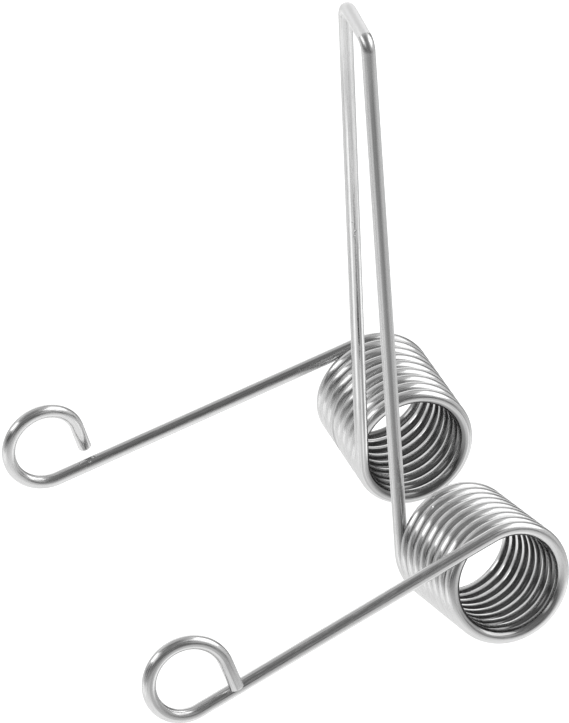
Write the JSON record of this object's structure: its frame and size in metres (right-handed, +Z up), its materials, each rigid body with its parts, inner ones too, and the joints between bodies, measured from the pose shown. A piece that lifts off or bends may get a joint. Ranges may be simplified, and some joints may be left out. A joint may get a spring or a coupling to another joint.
{
  "type": "horn valve spring",
  "caption": "Double torsion spring bent from one round wire, with close-wound coils, a bridge joining their tall legs, and an open eye on each arm.",
  "frame": {"origin": "under the middle of the spring's outline, on the surface that its coils and eyes rest on", "axes": "+Z is up along the legs towards the bridge, +Y runs along the back coil's axis as seen from above, and the arms run towards -X"},
  "size_m": [0.035, 0.0406, 0.0431],
  "materials": {
    "spring_steel": "bright drawn"
  },
  "bodies": {
    "root": {"spring_wire": "spring_steel"}
  },
  "joints": []
}
